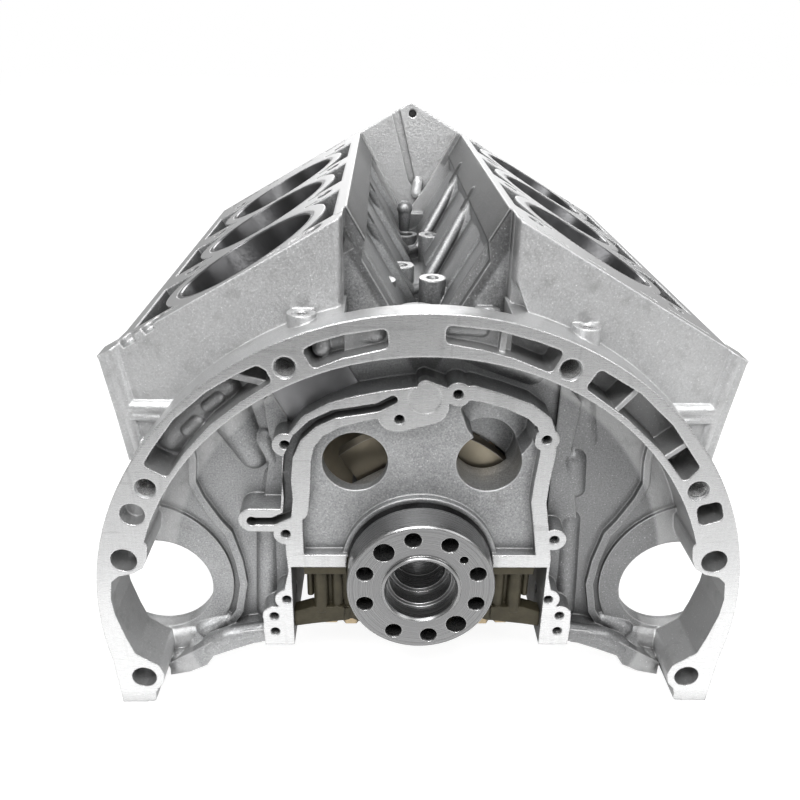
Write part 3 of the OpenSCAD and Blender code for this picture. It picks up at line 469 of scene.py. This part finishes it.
def bright_thread():
    """Freshly cut aluminium of the threads, with painted shade down the hole."""
    m = Finish("bright_thread")
    fine = m.noise(2500, 2, 0.6)
    # painted shade down the hole
    light = m.product(m.hollow(0.006), m.spread(fine, 0.6, 1.0))
    m.shade(Base_Color=m.mix(light, grey(0.26), grey(0.86)), Metallic=0.9,
            Roughness=m.spread(fine, 0.2, 0.34))
    m.relief(fine, 0.00003, 0.4)
    return m


def dress_nodes():
    """Gives each solid of the part its finish, by the start of its name."""
    bolt = oiled_bolt()
    finishes = {"cylinder_block": cast_aluminium(), "crankshaft": ground_steel(),
                "liner_left": honed_bore("honed_bore_left", -1),
                "liner_right": honed_bore("honed_bore_right", 1),
                "main_cap": oily_iron(), "cap_bolts": bolt, "side_bolts": bolt,
                "shell": plain_steel("bearing_shell", SHELL_METAL, 0.25),
                "core_plug": plain_steel("pressed_plug", PLUG_METAL, 0.35)}
    for name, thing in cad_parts.items():
        for start, finish in finishes.items():
            if name.startswith(start):
                finish.put_on(thing)


def sleeve(name, points, finish):
    """A smooth tube through rings of points, rows by columns by 3, each ring closed, on the block's body."""
    rows, columns = points.shape[:2]
    row, column = np.meshgrid(np.arange(rows - 1) * columns, np.arange(columns), indexing="ij")
    after = (column + 1) % columns
    corners = (row + column, row + columns + column, row + columns + after, row + after)
    faces = np.stack(corners, axis=-1).reshape(-1, 4)
    mesh = bpy.data.meshes.new(name)
    mesh.from_pydata(points.reshape(-1, 3).tolist(), [], faces.tolist())
    mesh.polygons.foreach_set("use_smooth", np.ones(len(faces), dtype=bool))
    piece = bpy.data.objects.new(name, mesh)
    bpy.context.scene.collection.objects.link(piece)
    finish.put_on(piece)
    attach(piece, "block")


def thread_grid(mouth, inward, radius, depth, pitch):
    """Thread inside a round hole. Its crest, at angle a and depth d, is 1 less twice the distance of
    d / pitch - a / turn from the nearest whole number. The radius dips by a third of the pitch times the
    crest, and the dip grows from nothing over the first turn."""
    gap, dip, steps_a_turn, around = 0.0001, 0.33, 4, 28
    rings = int(depth / pitch * steps_a_turn) + 1
    angle = np.arange(around)[None, :] * 2 * np.pi / around
    sunk = np.linspace(0, depth, rings)[:, None]
    phase = sunk / pitch - angle / (2 * np.pi)
    crest = 1 - 2 * np.abs(phase - np.round(phase))
    reach = radius - gap - pitch * dip * crest * np.clip(sunk / pitch, 0, 1)
    inward = np.array(inward, dtype=float)
    side = np.cross(inward, (0.0, 0.0, 1.0) if abs(inward[2]) < 0.5 else (1.0, 0.0, 0.0))
    side /= np.linalg.norm(side)
    other = np.cross(inward, side)
    return (np.array(mouth) + sunk[..., None] * inward + (reach * np.cos(angle))[..., None] * side
            + (reach * np.sin(angle))[..., None] * other)


def threads():
    """Threads in the holes that the bell end shows: bell bolts, cover screws and boss holes."""
    into_bell, down = (0, 1, 0), (0, 0, -1)
    # each kind: name, starts a little inside the mouths, way in, radius, depth and pitch
    kinds = (("bell", [(x, 0.0018, z) for x, z in BELL_BOLTS], into_bell, 0.00575, 0.020, 0.0015),
             ("cover", [(x, GASKET_Y + 0.0009, z) for x, z in COVER_SCREWS], into_bell, 0.0029, 0.014, 0.001),
             ("boss", [(x, y, z - 0.0013) for x, y, z in BOSS_HOLES], down, 0.0032, 0.011, 0.001))
    finish = bright_thread()
    for kind, mouths, inward, radius, depth, pitch in kinds:
        for count, mouth in enumerate(mouths, 1):
            points = thread_grid(mouth, inward, radius, depth, pitch)
            sleeve(f"{kind}_thread_{count}", points, finish)


def flat_sheet(name, low, high, z, finish):
    """A rectangle in the plane z from corner low to corner high, that belongs to the stage."""
    corners = [(low[0], low[1], z), (high[0], low[1], z), (high[0], high[1], z), (low[0], high[1], z)]
    mesh = bpy.data.meshes.new(name)
    mesh.from_pydata(corners, [], [(0, 1, 2, 3)])
    sheet = bpy.data.objects.new(name, mesh)
    bpy.context.scene.collection.objects.link(sheet)
    finish.put_on(sheet)


def lamp(name, place, size, power):
    """A soft rectangular lamp that looks at the middle of the block."""
    middle = Vector((0, 0.1, 0.08))
    light = bpy.data.lights.new(name, "AREA")
    light.shape = "RECTANGLE"
    light.size, light.size_y = size
    light.energy = power
    thing = bpy.data.objects.new(name, light)
    thing.location = place
    thing.rotation_euler = (middle - Vector(place)).to_track_quat("-Z", "Y").to_euler()
    bpy.context.scene.collection.objects.link(thing)


def pale_floor():
    """Floor that is white to the camera under the object's shadow, and in reflections has painted shade,
    greyer far in front.
    """
    m = Finish("pale_floor")
    # painted shade, seen only in reflections: greyer far in front and to the left
    near = m.fit(m.along((0, 1, 0)), -0.80, -0.04, smooth=False)
    far = m.mix(m.fit(m.along((1, 0, 0)), -0.15, 0.20), grey(0.10), grey(0.30))
    m.shade(Base_Color=m.mix(near, far, grey(0.92)), Roughness=0.8)
    matt = m.add("BsdfDiffuse", Color=grey(0.28)).outputs[0]
    shine = m.add("Emission", Color=grey(1), Strength=0.9).outputs[0]
    shown = m.add("AddShader", _0=matt, _1=shine).outputs[0]
    seen = m.add("LightPath").outputs["Is Camera Ray"]
    both = m.add("MixShader", _0=seen, _1=m.shader.outputs[0], _2=shown).outputs[0]
    m.feed(m.tree.nodes["Material Output"].inputs["Surface"], both)
    return m


def white_world():
    """Soft light from all sides, and plain white to the camera."""
    world = bpy.data.worlds.new("studio")
    bpy.context.scene.world = world
    world.use_nodes = True
    tree = world.node_tree
    both = tree.nodes.new("ShaderNodeMixShader")
    seen = tree.nodes.new("ShaderNodeLightPath")
    tree.links.new(seen.outputs["Is Camera Ray"], both.inputs[0])
    grounds = (tree.nodes["Background"], tree.nodes.new("ShaderNodeBackground"))
    for slot, (ground, strength) in enumerate(zip(grounds, (0.36, 1.0)), 1):
        ground.inputs["Color"].default_value = grey(1)
        ground.inputs["Strength"].default_value = strength
        tree.links.new(ground.outputs[0], both.inputs[slot])
    tree.links.new(both.outputs[0], tree.nodes["World Output"].inputs["Surface"])


def studio():
    """Floor, world and three lamps."""
    bpy.context.scene.view_settings.view_transform = "Standard"
    white_world()
    flat_sheet("floor", (-3, -1.2), (3, 6), FLOOR_Z, pale_floor())
    lamp("key", (-0.2, -0.8, 1.3), (1.1, 0.5), 29)
    lamp("fill", (0.9, -0.5, 0.8), (0.7, 0.7), 5)
    lamp("back", (0.1, 1.5, 0.8), (1.6, 0.7), 12)


aim_camera()
dress_nodes()
threads()
studio()
